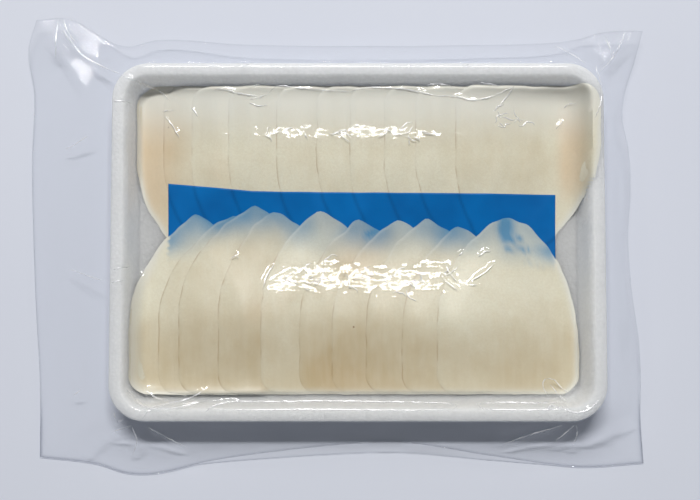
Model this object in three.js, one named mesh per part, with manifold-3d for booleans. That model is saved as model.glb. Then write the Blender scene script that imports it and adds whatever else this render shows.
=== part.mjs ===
// Vacuum pack of pale seafood slices: a white foam tray, two shingled rows of ten slices,
// a blue sheet between the rows, and the clear bag that is sealed round the tray.
// Millimetres, +Z up, the long side along X, the back row towards +Y.
import * as THREE from "three";
import Module from "manifold-3d";
import { mergeVertices } from "three/addons/utils/BufferGeometryUtils.js";

const wasm = await Module();
wasm.setup();

// Clearance between pieces that touch in the real pack
const GAP = 0.3;

// Foam tray: half lengths to the rim's outer edge, and the wall that runs down from the rim
const RIM_HALF_X = 101.8;
const RIM_HALF_Y = 73.8;
const RIM_CORNER = 15;
const RIM_TOP = 16.6;
const LIP_WIDTH = 6;
const LIP_DEPTH = 3;
const LIP_ROUNDING = 1.5;
const LIP_TURN = 0.4;
const WALL_RUN = 4.5;
const FLOOR_FILLET = 1.9;
const FOOT_CHAMFER = 0.8;
const FOAM = 2.2;
const CORNER_STEPS = 7;

// Film bag: sheet thickness, drawn thicker than the real 0.1 mm so that it is a solid
const FILM = 0.6;
const FILM_CLEARANCE = 0.45;
const FLAP_START = 14.9;
const FLAP_STEEPEST = 0.75;
const FLAP_SAG = 1.5;
const FLAP_RINGS = [0.15, 0.4, 0.7, 1];
const FLAP_STEP = 16;

// Outer edge of the bag, anticlockwise: x, y, and the height of the edge above the table
const ON_TABLE = FILM + 0.05;
const EAR_HEIGHT = 7;
const HALF_EAR = 4;
const BAG_EDGE = [
  [120.5, 89.5, EAR_HEIGHT],
  [104, 89, EAR_HEIGHT],
  [86.5, 85, ON_TABLE],
  [52, 83.5, ON_TABLE],
  [0, 82.8, ON_TABLE],
  [-50, 83.7, ON_TABLE],
  [-84.5, 86, ON_TABLE],
  [-97, 83, ON_TABLE],
  [-109.5, 88, HALF_EAR],
  [-122, 94.7, EAR_HEIGHT],
  [-136, 94.2, EAR_HEIGHT],
  [-140, 82, HALF_EAR],
  [-138, 63, ON_TABLE],
  [-138.5, 35, ON_TABLE],
  [-137.5, 5, ON_TABLE],
  [-136, -24, ON_TABLE],
  [-133.5, -60, ON_TABLE],
  [-133, -89.7, ON_TABLE],
  [-109, -92.6, ON_TABLE],
  [-97, -96.3, ON_TABLE],
  [-86, -96.7, ON_TABLE],
  [-60.5, -91, ON_TABLE],
  [-29, -86.4, ON_TABLE],
  [0, -83.4, ON_TABLE],
  [18, -83, ON_TABLE],
  [56, -89, ON_TABLE],
  [92.5, -93.8, ON_TABLE],
  [119.5, -92.2, ON_TABLE],
  [118.5, -74, ON_TABLE],
  [118, -43, ON_TABLE],
  [114.5, -19, ON_TABLE],
  [113.2, 3, ON_TABLE],
  [114.7, 20, ON_TABLE],
  [114, 40, ON_TABLE],
  [111.3, 51, ON_TABLE],
  [112, 60, ON_TABLE],
  [117, 75, HALF_EAR],
];

// Slices: one blunt end with round corners, and an arch to a tip left of the middle, where the slice,
// which is cut on the slant, runs out thin
const SLICE_WIDTH = 59.5;
const SLICE_THICK = 1.9;
const SLICE_TIP_THICK = 0.5;
const SLICE_EDGE = 0.4;
const SLICE_BEVEL = 12;
const SLICE_SLANT = 46;
const SLICE_CORNER = 9;
const LEFT_ARCH = 42;
const LEFT_ARCH_POWER = 1.8;
const RIGHT_ARCH = 54;
const RIGHT_ARCH_POWER = 2.3;
const ARCH_STEPS = 7;
const ARC_STEPS = 3;
const ROW_END = 63.4;
const END_THIN = 0.6;
const END_THIN_FROM = 4;
const END_THIN_TO = 40;
const PAST_END = 30;

// Left edge of each slice, and its tip, from left to right; each slice lies on its left neighbour
const FRONT_SLICES = [
  { left: -92.3, tip: [-67.9, 11.5] },
  { left: -83.4, tip: [-51.9, 11.5] },
  { left: -74.8, tip: [-42.8, 15.2] },
  { left: -58.2, tip: [-35.5, 13.1] },
  { left: -40.4, tip: [-16.6, 13.1] },
  { left: -24.4, tip: [0.6, 9.4] },
  { left: -10.9, tip: [17, 9.4] },
  { left: 3.3, tip: [28.9, 9.8] },
  { left: 18.2, tip: [42, 6.6] },
  { left: 32.8, tip: [60.5, 10.3] },
];
const BACK_SLICES = [
  { left: -92.3, tip: [-66.5, -9.5] },
  { left: -82, tip: [-57, -9] },
  { left: -69.9, tip: [-43.5, -11] },
  { left: -54.3, tip: [-28, -10] },
  { left: -34.2, tip: [-9, -10.5] },
  { left: -17.4, tip: [8.5, -9.5] },
  { left: -3.5, tip: [22, -11] },
  { left: 10.9, tip: [37, -10] },
  { left: 24, tip: [50.5, -9] },
  { left: 40.8, tip: [63.5, -10.5] },
];

// Blue sheet between the rows
const SHEET_THICK = 0.5;
const SHEET_CORNERS = [
  [-78.1, -8.2],
  [81.8, -12.3],
  [81.8, 19.3],
  [-44.1, 20.5],
  [-78.1, 23.8],
];

// Height grid on which the layers are stacked: the flat of the tray, and a few cells beyond it
const FLAT_HALF_X = 89.4;
const FLAT_HALF_Y = 61.6;
const FLAT_CELLS_X = 13;
const FLAT_CELLS_Y = 6;
const CELL_X = FLAT_HALF_X / FLAT_CELLS_X;
const CELL_Y = FLAT_HALF_Y / FLAT_CELLS_Y;
const CELLS_X = 2 * (FLAT_CELLS_X + 2);
const CELLS_Y = 2 * (FLAT_CELLS_Y + 1);
const BED_RISE = 1.5;
const CLIMB_FROM = FLAT_HALF_X - CELL_X;
const CLIMB_TO = FLAT_HALF_X + CELL_X;
const CLIMB_POWER = 1;

const COLOURS = {
  foam: 0xe6e8e4,
  slice: 0xe2d8bb,
  sheet: 0x005aa6,
  film: 0xdde4ee,
};

// Centre of the rim's corner arc, or the nearest point between two of them, for a point outside
function rimCore(x, y) {
  const reachX = RIM_HALF_X - RIM_CORNER;
  const reachY = RIM_HALF_Y - RIM_CORNER;
  return new THREE.Vector2(
    THREE.MathUtils.clamp(x, -reachX, reachX),
    THREE.MathUtils.clamp(y, -reachY, reachY),
  );
}

// A spoke points straight out of the rim at one place round the tray
function spokeTowards(x, y) {
  const core = rimCore(x, y);
  const away = new THREE.Vector2(x, y).sub(core);
  return { core, away: away.clone().normalize(), reach: away.length() - RIM_CORNER };
}

// Point on a spoke, at a distance out from the rim's edge and at a height
function onSpoke(spoke, out, height) {
  const flat = spoke.away.clone().multiplyScalar(RIM_CORNER + out).add(spoke.core);
  return new THREE.Vector3(flat.x, flat.y, height);
}

// Closed surface over rings that all have the same number of points, shut by a fan at both ends
function loft(rings) {
  const count = rings[0].length;
  const points = rings.flat();
  const faces = [];
  for (let ring = 0; ring + 1 < rings.length; ring++) {
    for (let k = 0; k < count; k++) {
      const a = ring * count + k;
      const d = ring * count + ((k + 1) % count);
      faces.push([a, a + count, d + count], [a, d + count, d]);
    }
  }
  const first = points.push(new THREE.Vector3(0, 0, rings[0][0].z)) - 1;
  const last = points.push(new THREE.Vector3(0, 0, rings.at(-1)[0].z)) - 1;
  const lastRing = (rings.length - 1) * count;
  for (let k = 0; k < count; k++) {
    const next = (k + 1) % count;
    faces.push([first, k, next], [last, lastRing + next, lastRing + k]);
  }
  return geometryOf(points, faces);
}

function geometryOf(points, faces) {
  const geometry = new THREE.BufferGeometry().setFromPoints(points);
  geometry.setIndex(faces.flat());
  return geometry;
}

function toManifold(geometry) {
  const bare = geometry.clone();
  bare.deleteAttribute("normal");
  bare.deleteAttribute("uv");
  const merged = mergeVertices(bare, 1e-4);
  return new wasm.Manifold(
    new wasm.Mesh({
      numProp: 3,
      vertProperties: merged.attributes.position.array,
      triVerts: new Uint32Array(merged.index.array),
    }),
  );
}

function fromManifold(solid) {
  const mesh = solid.getMesh();
  const geometry = new THREE.BufferGeometry();
  geometry.setAttribute("position", new THREE.BufferAttribute(mesh.vertProperties, 3));
  geometry.setIndex(new THREE.BufferAttribute(mesh.triVerts, 1));
  return geometry;
}

// Tray section from the inner floor, up the wall, over the lip and down to the foot
function traySection() {
  const foot = FILM + GAP;
  const floor = foot + FOAM;
  const wallTop = -LIP_WIDTH;
  const wallFoot = wallTop - WALL_RUN;
  const underLip = RIM_TOP - LIP_DEPTH;
  return [
    [wallFoot - FLOOR_FILLET, floor],
    [wallFoot - 0.4 * FLOOR_FILLET, floor + 0.2 * FLOOR_FILLET],
    [wallFoot, floor + 0.7 * FLOOR_FILLET],
    [wallTop - LIP_TURN, RIM_TOP - LIP_ROUNDING],
    [wallTop + LIP_TURN, RIM_TOP - LIP_TURN],
    [wallTop + LIP_ROUNDING, RIM_TOP],
    [-LIP_ROUNDING, RIM_TOP],
    [-LIP_TURN, RIM_TOP - LIP_TURN],
    [0, RIM_TOP - LIP_ROUNDING],
    [0, underLip],
    [-2 * LIP_TURN, underLip - LIP_TURN],
    [wallTop + FOAM, underLip],
    [wallFoot + FOAM, foot + FOOT_CHAMFER],
    [wallFoot + FOAM - FOOT_CHAMFER, foot],
  ];
}

function trayGeometry() {
  const spokes = [];
  for (let corner = 0; corner < 4; corner++) {
    for (let step = 0; step < CORNER_STEPS; step++) {
      const angle = ((corner + step / (CORNER_STEPS - 1)) * Math.PI) / 2;
      const away = new THREE.Vector2(Math.cos(angle), Math.sin(angle));
      const middle = (corner + 0.5) * (Math.PI / 2);
      const core = rimCore(Math.cos(middle) * 1e3, Math.sin(middle) * 1e3);
      spokes.push({ core, away });
    }
  }
  return loft(traySection().map(([out, z]) => spokes.map((spoke) => onSpoke(spoke, out, z))));
}

// Edge of the bag with long stretches divided, as [x, y, height]
function bagEdge() {
  return BAG_EDGE.flatMap((from, k) => {
    const to = BAG_EDGE[(k + 1) % BAG_EDGE.length];
    const pieces = Math.ceil(Math.hypot(to[0] - from[0], to[1] - from[1]) / FLAP_STEP);
    return Array.from({ length: pieces }, (_, piece) =>
      from.map((value, axis) => THREE.MathUtils.lerp(value, to[axis], piece / pieces)),
    );
  });
}

// Tray side of the film on one spoke: under the foot, up to the lip, then out along the flap
function filmSection(reach, edgeHeight) {
  const drop = Math.min(FLAP_START - edgeHeight, FLAP_STEEPEST * reach);
  const wallFoot = -LIP_WIDTH - WALL_RUN + FOAM;
  const flap = FLAP_RINGS.map((share) => [
    THREE.MathUtils.lerp(FILM_CLEARANCE, reach, share),
    FLAP_START - drop * (1 - (1 - share) ** FLAP_SAG),
  ]);
  return [
    [wallFoot, FILM],
    [FILM_CLEARANCE, RIM_TOP - LIP_DEPTH - LIP_TURN],
    [FILM_CLEARANCE, FLAP_START],
    ...flap,
  ];
}

// The same section moved down and out by the film's thickness
function filmUnderside(section) {
  const turned = section.map((point, k) => {
    const before = section[Math.max(k - 1, 0)];
    const after = section[Math.min(k + 1, section.length - 1)];
    const first = k === 0 ? new THREE.Vector2(1, 0) : direction(before, point);
    const second = k === section.length - 1 ? first : direction(point, after);
    const mitre = new THREE.Vector2(first.y + second.y, -first.x - second.x);
    mitre.multiplyScalar((2 * FILM) / mitre.lengthSq());
    return [point[0] + mitre.x, point[1] + mitre.y];
  });
  return turned.reverse();
}

function direction(from, to) {
  return new THREE.Vector2(to[0] - from[0], to[1] - from[1]).normalize();
}

// The bag's lower film, as a cup under the tray, and its flaps; the upper film is left to the render
function bagGeometry() {
  const columns = bagEdge().map(([x, y, height]) => {
    const spoke = spokeTowards(x, y);
    const upper = filmSection(spoke.reach, height);
    return [...upper, ...filmUnderside(upper)].map(([out, z]) => onSpoke(spoke, out, z));
  });
  return loft(columns[0].map((_, ring) => columns.map((column) => column[ring])));
}

// Outline of a slice; extra moves its blunt end out. The back row is the same, turned over in Y
function sliceOutline({ left, tip }, side, extra = 0) {
  const tipX = tip[0] - left;
  const end = ROW_END + extra;
  const length = side * tip[1] + end;
  const width = SLICE_WIDTH;
  const points = [];
  const add = (x, y) => points.push(new THREE.Vector2(left + x, side * (y - end)));
  const corner = (x, from) => {
    for (let step = 0; step <= ARC_STEPS; step++) {
      const angle = from + ((step / ARC_STEPS) * Math.PI) / 2;
      add(x + SLICE_CORNER * Math.cos(angle), SLICE_CORNER * (1 + Math.sin(angle)));
    }
  };
  const arch = (reach, height, power, from, to) => {
    for (let step = 0; step < ARCH_STEPS; step++) {
      const angle = (THREE.MathUtils.lerp(from, to, step / ARCH_STEPS) * Math.PI) / 2;
      const across = Math.abs(Math.cos(angle)) ** (2 / power);
      add(tipX + reach * across, length - height + height * Math.sin(angle) ** (2 / power));
    }
  };
  corner(SLICE_CORNER, Math.PI);
  corner(width - SLICE_CORNER, Math.PI * 1.5);
  arch(width - tipX, RIGHT_ARCH, RIGHT_ARCH_POWER, 0, 1);
  arch(-tipX, LEFT_ARCH, LEFT_ARCH_POWER, 1, 0);
  add(0, length - LEFT_ARCH);
  return side > 0 ? points : points.reverse();
}

// Distance from a point to an outline, positive inside it
function insideDistance(outline, x, y) {
  let nearest = Infinity;
  let inside = false;
  outline.forEach((a, k) => {
    const b = outline[(k + 1) % outline.length];
    const dot = (x - a.x) * (b.x - a.x) + (y - a.y) * (b.y - a.y);
    const along = THREE.MathUtils.clamp(dot / a.distanceToSquared(b), 0, 1);
    const gapX = x - THREE.MathUtils.lerp(a.x, b.x, along);
    const gapY = y - THREE.MathUtils.lerp(a.y, b.y, along);
    nearest = Math.min(nearest, Math.hypot(gapX, gapY));
    const crosses = a.y > y !== b.y > y;
    if (crosses && x < a.x + ((y - a.y) / (b.y - a.y)) * (b.x - a.x)) inside = !inside;
  });
  return inside ? nearest : -nearest;
}

const columnX = (i) => (i - CELLS_X / 2) * CELL_X;
const rowY = (j) => (j - CELLS_Y / 2) * CELL_Y;
const nodeOf = (i, j) => j * (CELLS_X + 1) + i;

// Top of what lies in the tray so far, at each node of the grid: at first the floor, the wall and the rim
function emptyBed() {
  const floor = FILM + GAP + FOAM;
  const heights = new Float64Array((CELLS_X + 1) * (CELLS_Y + 1));
  for (let j = 0; j <= CELLS_Y; j++) {
    for (let i = 0; i <= CELLS_X; i++) {
      const pastX = Math.abs(columnX(i)) - FLAT_HALF_X;
      const pastY = Math.abs(rowY(j)) - FLAT_HALF_Y;
      const wall = floor + BED_RISE * Math.max(0, pastX, pastY);
      heights[nodeOf(i, j)] = Math.min(wall, RIM_TOP + GAP);
    }
  }
  return heights;
}

// Raises the bed to the right-hand rim, which the last slice of the back row laps over
function raiseToRim(bed) {
  for (let j = 0; j <= CELLS_Y; j++) {
    for (let i = 0; i <= CELLS_X; i++) {
      const share = THREE.MathUtils.clamp((columnX(i) - CLIMB_FROM) / (CLIMB_TO - CLIMB_FROM), 0, 1);
      const ramp = (RIM_TOP + GAP) * share ** CLIMB_POWER;
      bed[nodeOf(i, j)] = Math.max(bed[nodeOf(i, j)], ramp);
    }
  }
}

// Block between two height fields over the part of the grid that an outline covers
function slab(outline, bottom, top) {
  const xs = outline.map((point) => point.x / CELL_X + CELLS_X / 2);
  const ys = outline.map((point) => point.y / CELL_Y + CELLS_Y / 2);
  const fromX = Math.floor(Math.min(...xs));
  const fromY = Math.floor(Math.min(...ys));
  const cellsX = Math.ceil(Math.max(...xs)) - fromX;
  const cellsY = Math.ceil(Math.max(...ys)) - fromY;
  const points = [];
  for (const heights of [bottom, top]) {
    for (let j = 0; j <= cellsY; j++) {
      for (let i = 0; i <= cellsX; i++) {
        const height = heights[nodeOf(fromX + i, fromY + j)];
        points.push(new THREE.Vector3(columnX(fromX + i), rowY(fromY + j), height));
      }
    }
  }
  const upper = points.length / 2;
  const at = (i, j) => j * (cellsX + 1) + i;
  const faces = [];
  const wall = (a, b) => faces.push([a, b, b + upper], [a, b + upper, a + upper]);
  for (let j = 0; j < cellsY; j++) {
    for (let i = 0; i < cellsX; i++) {
      const [a, b, c, d] = [at(i, j), at(i + 1, j), at(i + 1, j + 1), at(i, j + 1)];
      faces.push([a, c, b], [a, d, c]);
      faces.push([a + upper, b + upper, c + upper], [a + upper, c + upper, d + upper]);
    }
    wall(at(cellsX, j), at(cellsX, j + 1));
    wall(at(0, j + 1), at(0, j));
  }
  for (let i = 0; i < cellsX; i++) {
    wall(at(i, 0), at(i + 1, 0));
    wall(at(i + 1, cellsY), at(i, cellsY));
  }
  return geometryOf(points, faces);
}

// Lays a piece of the given outline on the bed, and raises the bed to its top
function lay(bed, outline, thickness) {
  const bottom = bed.map((height) => height + GAP);
  const top = bottom.slice();
  const touched = Math.hypot(CELL_X, CELL_Y) * 1.01;
  for (let j = 0; j <= CELLS_Y; j++) {
    for (let i = 0; i <= CELLS_X; i++) {
      top[nodeOf(i, j)] += thickness(columnX(i), rowY(j));
      if (insideDistance(outline, columnX(i), rowY(j)) > -touched) bed[nodeOf(i, j)] = top[nodeOf(i, j)];
    }
  }
  const prism = new THREE.ExtrudeGeometry(new THREE.Shape(outline), {
    depth: 2 * RIM_TOP,
    bevelEnabled: false,
  });
  return fromManifold(toManifold(slab(outline, bottom, top)).intersect(toManifold(prism)));
}

// A slice is thin at its tip and its sides, full in its middle, and a little thinner at its blunt end
function sliceThickness(slice, side) {
  const sides = sliceOutline(slice, side, PAST_END);
  const { lerp, smoothstep } = THREE.MathUtils;
  return (x, y) => {
    const fromTip = smoothstep(Math.abs(y - slice.tip[1]), 0, SLICE_SLANT);
    const fromEnd = smoothstep(ROW_END + side * y, END_THIN_FROM, END_THIN_TO);
    const body = lerp(SLICE_TIP_THICK, SLICE_THICK, fromTip) * lerp(END_THIN, 1, fromEnd);
    return lerp(SLICE_EDGE, body, smoothstep(insideDistance(sides, x, y), 0, SLICE_BEVEL));
  };
}

function meshOf(name, geometry, color, roughness, extra = {}) {
  geometry.computeVertexNormals();
  const material = new THREE.MeshStandardMaterial({ color, roughness, metalness: 0, ...extra });
  const mesh = new THREE.Mesh(geometry, material);
  mesh.name = name;
  return mesh;
}

function layRow(bed, name, slices, side) {
  return slices.map((slice, k) => {
    if (side < 0 && k === slices.length - 1) raiseToRim(bed);
    const number = String(k + 1).padStart(2, "0");
    const geometry = lay(bed, sliceOutline(slice, side), sliceThickness(slice, side));
    return meshOf(`${name}_${number}`, geometry, COLOURS.slice, 0.45);
  });
}

function contents() {
  const bed = emptyBed();
  const back = layRow(bed, "back_slice", BACK_SLICES, -1);
  const corners = SHEET_CORNERS.map(([x, y]) => new THREE.Vector2(x, y));
  const sheet = meshOf("blue_sheet", lay(bed, corners, () => SHEET_THICK), COLOURS.sheet, 0.35);
  const front = layRow(bed, "front_slice", FRONT_SLICES, 1);
  return [...back, sheet, ...front];
}

const pack = new THREE.Group();
pack.add(meshOf("foam_tray", trayGeometry(), COLOURS.foam, 0.75));
pack.add(...contents());
pack.add(meshOf("film_bag", bagGeometry(), COLOURS.film, 0.12, { transparent: true, opacity: 0.35 }));

// The middle of the pack's outer box, at table height, is the origin
const middle = new THREE.Box3().setFromObject(pack).getCenter(new THREE.Vector3());
pack.position.set(-middle.x, -middle.y, 0);

export default pack;
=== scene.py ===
"""Looks of a vacuum pack of pale seafood slices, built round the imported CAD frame.

Shapes are worked out in millimetres from the middle of the tray, on one grid of heights, and are
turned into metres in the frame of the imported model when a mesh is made.
"""
import math

import bmesh
import bpy
import numpy as np
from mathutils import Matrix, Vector


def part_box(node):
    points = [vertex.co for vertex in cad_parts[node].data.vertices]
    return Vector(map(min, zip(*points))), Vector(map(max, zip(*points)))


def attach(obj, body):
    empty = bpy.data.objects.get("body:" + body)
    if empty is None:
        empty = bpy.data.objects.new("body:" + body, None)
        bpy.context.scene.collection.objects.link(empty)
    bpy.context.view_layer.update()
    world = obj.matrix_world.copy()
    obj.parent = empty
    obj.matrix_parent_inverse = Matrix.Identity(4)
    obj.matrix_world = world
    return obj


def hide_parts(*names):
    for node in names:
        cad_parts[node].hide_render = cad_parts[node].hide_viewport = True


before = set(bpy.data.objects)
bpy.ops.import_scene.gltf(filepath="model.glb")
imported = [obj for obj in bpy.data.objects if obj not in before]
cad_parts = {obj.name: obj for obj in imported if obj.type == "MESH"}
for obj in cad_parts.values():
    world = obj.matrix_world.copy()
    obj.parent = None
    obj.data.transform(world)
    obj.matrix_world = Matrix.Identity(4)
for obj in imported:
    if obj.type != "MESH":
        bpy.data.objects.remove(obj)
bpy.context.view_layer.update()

MM = 0.001
TRAY_LOW, TRAY_HIGH = (np.array(corner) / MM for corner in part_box("foam_tray"))
TRAY_MIDDLE = (TRAY_LOW + TRAY_HIGH) / 2

# Foam tray: outer size from the model, thickness of the foam, and the section of its rim and wall
RIM_HALF_X, RIM_HALF_Y = (TRAY_HIGH - TRAY_LOW)[:2] / 2
RIM_CORNER = 15.0
RIM_TOP = TRAY_HIGH[2]
FOOT = TRAY_LOW[2]
FOAM = 2.2
LIP_WIDTH = 5.6
LIP_DEPTH = 3.0
WALL_RUN = 3.2
FLOOR_FILLET = 1.9
BED_GAP = 0.05
RIM_WOBBLE = 0.12

# Slices: size, thickness in the body, at the tip and at the edge, and how far in each one begins
SLICE_WIDTH = 59.5
SLICE_CORNER = 8.0
SLICE_THICK = 1.9
SLICE_TIP_THICK = 0.5
SLICE_SLANT = 46.0
SLICE_EDGE = 0.1
SLICE_BEVEL = 12.0
EDGE_ROUND = 1.6
# Height of the two arches that the sides bend in along, and how sharp the tip is
LEFT_ARCH, LEFT_POINT = 44.0, 0.8
RIGHT_ARCH, RIGHT_POINT, LAST_POINT = 54.0, 0.75, 0.52
# Blunt ends: distance from the tray's middle, share of the thickness there, and over what length
FRONT_END, BACK_END = 63.4, 65.6
FRONT_END_THIN, BACK_END_THIN, END_THIN_REACH = 0.4, 1.15, (2.0, 34.0)
# How far the sides run on past the blunt end, which is not thinned like a side
PAST_END = 30.0
OUTLINE_POINTS = 150
OUTLINE_WAVES = (7, 11, 16, 23, 31)
SHARP_EDGE = math.radians(50)
UNDERSIDE_GAP = 0.02
# How far a slice rounds off the steps below it: most of them, and where a row starts or ends
SOFT, SOFTEST = 1.1, 3.2
# Left edge and tip of each slice from left to right, and how tan it is, from ivory at 0 to 1
FRONT_SLICES = [
    (-94.6, (-67.9, 11.5), 0.1),
    (-83.4, (-51.9, 11.5), 0.35),
    (-74.8, (-42.8, 15.2), 0.45),
    (-58.2, (-35.5, 13.1), 0.6),
    (-40.4, (-16.6, 13.1), 0.2),
    (-24.4, (0.6, 9.4), 0.55),
    (-10.9, (17.0, 9.4), 0.4),
    (3.3, (28.9, 9.8), 0.35),
    (18.2, (42.0, 6.6), 0.4),
    (32.8, (60.5, 10.3), 0.0),
]
BACK_SLICES = [
    (-93.0, (-66.5, -9.5), 0.5),
    (-82.0, (-57.0, -9.0), 0.8),
    (-69.9, (-43.5, -11.0), 0.3),
    (-54.3, (-28.0, -10.0), 0.2),
    (-34.2, (-9.0, -10.5), 0.2),
    (-17.4, (8.5, -9.5), 0.35),
    (-3.5, (22.0, -11.0), 0.2),
    (10.9, (37.0, -10.0), 0.1),
    (24.0, (50.5, -9.0), 0.15),
    (40.8, (63.5, -10.5), 0.3),
]
# Thin place in the last slice of the front row, which shows blue, and folds near the tips, whose shade is
# painted as blue lines
DENT = ((61.7, 5.6), (3.2, 5.5))
DENT_DEPTH = 0.6
FOLD_SHADE_WIDTH = 0.7
TIP_FOLD_SHADES = [
    [(61.7, 0.3), (68.4, 1.6)],
    [(62.5, -2.6), (71.6, -3.4)],
    [(70.8, -8.4), (77.8, -10.9)],
    [(3.4, 2.8), (7.6, 4.9)],
]

# Width of the painted crease shade along the slices' left edges, and how deep under the flesh the sheet
# still shows
SEAM_SHADE_WIDTH = 0.3
SHOWS_THROUGH = 0.62

# Blue sheet between the rows, and the height that stands for no sheet
SHEET_THICK = 0.12
SHEET_SOFT = 0.9
NO_SHEET = -100.0
SHEET_LEFT, SHEET_RIGHT = -79.8, 83.2
SHEET_FRONT = [(SHEET_LEFT, -8.2), (SHEET_RIGHT, -12.3)]
SHEET_BACK = [(SHEET_LEFT, 24.8), (-44.1, 21.3), (SHEET_RIGHT, 20.1)]

# Outer edge of the bag, anticlockwise: x, y, and the height of the edge where it isn't low
EDGE_LOW = 0.65
EAR_HEIGHT = 7.0
HALF_EAR = 4.0
BAG_EDGE = [
    (120.5, 89.5, EAR_HEIGHT), (104, 89, EAR_HEIGHT), (86.5, 85), (52, 83.5), (0, 82.8),
    (-50, 83.7), (-84.5, 86), (-97, 83), (-109.5, 88, HALF_EAR), (-122, 94.7, EAR_HEIGHT),
    (-136, 94.2, EAR_HEIGHT), (-140, 82, HALF_EAR), (-138, 63), (-138.5, 35), (-137.5, 5),
    (-136, -24), (-133.5, -60), (-133, -89.7), (-109, -92.6), (-97, -96.3), (-86, -96.7),
    (-60.5, -91), (-29, -86.4), (0, -83.4), (18, -83), (56, -89), (92.5, -93.8), (119.5, -92.2),
    (118.5, -74), (118, -43), (114.5, -19), (113.2, 3), (114.7, 20), (114, 40), (111.3, 51),
    (112, 60), (117, 75, HALF_EAR),
]
EDGE_POINTS = 2600
SHARP_CORNER = math.cos(math.radians(36))
# Flaps: height at the rim, steepest slope and sag, and half the gap between the two films
FLAP_START = 14.9
FLAP_STEEPEST = 0.75
FLAP_SAG = 1.25
HALF_GAP = 0.08
# Film over the rows: gap to what it lies on, and blur of each pull over a hollow and of the finish
FILM_GAP = 0.12
FILM_PULL, FILM_PULLS, FILM_FINISH = 0.8, 3, 0.5
# How far below the rim the slices' bed and the film's are taken to be outside it
BED_OUTSIDE, FILM_OUTSIDE = 1.5, 2.5
# Slope at which the film leaves the front rim, and where that ends at the sides
SPAN_SLOPE = 0.19
SPAN_HALF_WIDTH, SPAN_FADE = 86.0, 14.0

# Creases in the film over the tray: height and half width, and the points of the ridge lines
CREASES = [
    (0.5, 0.75, [
        [(-98.5, 68.4), (-91, 66), (-85.9, 65), (-82.6, 63.3), (-79.6, 59.9)],
        [(-60.5, 63.7), (-55.5, 64.1), (-50, 62), (-45, 61.2), (-40.8, 60.4), (-37.5, 62)],
        [(-37.5, 62), (-34.6, 65), (-31.3, 65.4), (-24.2, 64.1), (-13.7, 63.7), (-3.3, 62.9)],
        [(-3.3, 62.9), (1.7, 64.6), (9.2, 64.6), (17.6, 64.1), (25.9, 62.9), (33, 60.8)],
        [(33, 60.8), (42.6, 61.2), (45.9, 59.1), (51.8, 59.5), (57.6, 61.2), (65.2, 65)],
    ]),
    (0.4, 0.65, [
        [(-45, 59.5), (-40, 60.4)],
        [(-45.4, 58.2), (-42.5, 56.6), (-37.5, 57)],
        [(65.2, 64.6), (62.7, 61.2), (58.4, 55.7)],
        [(27.6, 65.4), (34.3, 65.8), (40.6, 65)],
        [(51, 66.3), (59.3, 65)],
        [(-70, 57), (-67.1, 52.8)],
        [(-82.7, 55.1), (-80.6, 55.9), (-77.2, 55.9)],
        [(-81.8, 54.2), (-77.6, 48.7), (-75, 44.1)],
        [(83.4, 48.2), (86.8, 51.5)],
        [(86.8, 57), (89.3, 58.6), (91.8, 58.2)],
        [(99.4, 73.7), (101.4, 64.5), (100.9, 58.2), (97.9, 50.7)],
    ]),
    (0.45, 0.7, [
        [(36.5, -9), (37.7, -11.9), (41.4, -16.8)],
        [(34.4, -12.7), (36.5, -16.4), (42.2, -20.6)],
        [(57.2, -8.5), (54.3, -11.9), (47.2, -16.4)],
        [(46, -18.1), (49.7, -17.7)],
        [(42.3, -5.6), (44.4, -3.6)],
        [(50.6, -6.1), (53.5, -3.6), (56, -3.6)],
        [(-53, -6.9), (-50.9, -5.2), (-49.7, -6.9)],
        [(-39.7, -20.1), (-38.1, -13.9), (-34.8, -9)],
    ]),
    (0.5, 0.65, [
        [(-88.7, -61), (-83.8, -65.1), (-78.5, -65.1)],
        [(-94.8, -61), (-91.9, -65.1), (-86.6, -68.3), (-78.5, -69.1), (-64.3, -66.3)],
        [(-87.4, -72.3), (-84.6, -68.3), (-78.5, -66.7), (-68.4, -64.7), (-60.7, -59.8)],
        [(-62.2, -69.9), (-58.2, -66.7), (-48, -65.5)],
        [(76, -69.9), (78.9, -66.3), (80.5, -68.3), (87, -68.7)],
        [(82.1, -67.1), (88.2, -70.7), (94.3, -69.1), (98.4, -64.3)],
        [(78.6, -63.8), (75.3, -60.1), (76.2, -56.4), (81.5, -56.8), (84.4, -60.5), (88, -62.9)],
        [(79, -58.8), (81.5, -61.5), (86, -66)],
    ]),
    (0.2, 0.6, [
        [(-101.7, 57.8), (-94.6, 57.8)],
        [(-100.3, -12.1), (-94.6, -10.5)],
        [(-101.9, -17.5), (-95.8, -16.2)],
        [(-47.6, 74.1), (-45.9, 72.4), (-43.9, 74.5)],
        [(43.1, 73.3), (44.8, 72.4), (47.3, 74.1)],
    ]),
]
# Patches of film pulled up over the slices: centre, half sizes and height
PUCKERS = [
    ((-64.5, 61.3), (3.2, 2.2), 0.5),
    ((-76.6, 46.5), (1.8, 3.5), 0.4),
    ((-5, 42.8), (105, 4.4), 1.1),
    ((-2, -20.5), (60, 6), 0.4),
    ((-48, -5), (9, 14), 1.3),
]

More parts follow.
